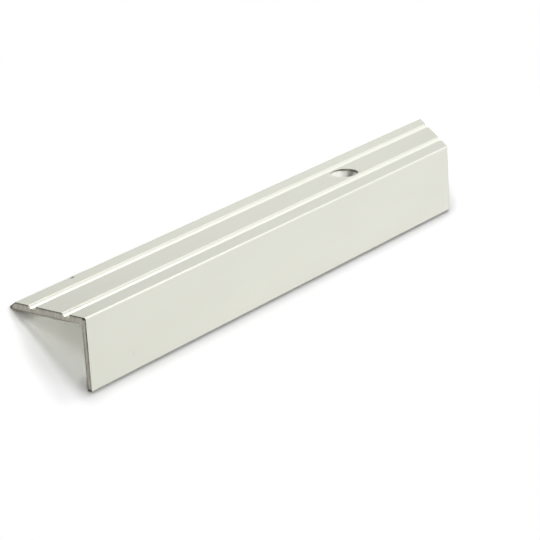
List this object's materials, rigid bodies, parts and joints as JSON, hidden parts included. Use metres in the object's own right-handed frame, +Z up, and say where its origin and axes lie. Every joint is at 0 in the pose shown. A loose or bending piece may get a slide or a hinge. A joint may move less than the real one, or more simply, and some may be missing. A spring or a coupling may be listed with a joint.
{
  "type": "stair nosing",
  "caption": "Extruded aluminium angle for a stair edge: grooved tread leg with a bevelled back edge, plain riser leg, countersunk screw hole, a square end and a mitred end.",
  "frame": {"origin": "middle of the bounding box's base, on the floor that the riser leg's foot and the tread leg's tip rest on", "axes": "+X along the length towards the mitred end, +Y from the riser leg's foot towards the tread leg's tip, +Z up"},
  "size_m": [0.188, 0.0318, 0.0167],
  "materials": {
    "satin_anodised_aluminium": "satin silver anodised, with bare sawn ends"
  },
  "bodies": {
    "root": {"nosing_profile": "satin_anodised_aluminium"}
  },
  "joints": []
}
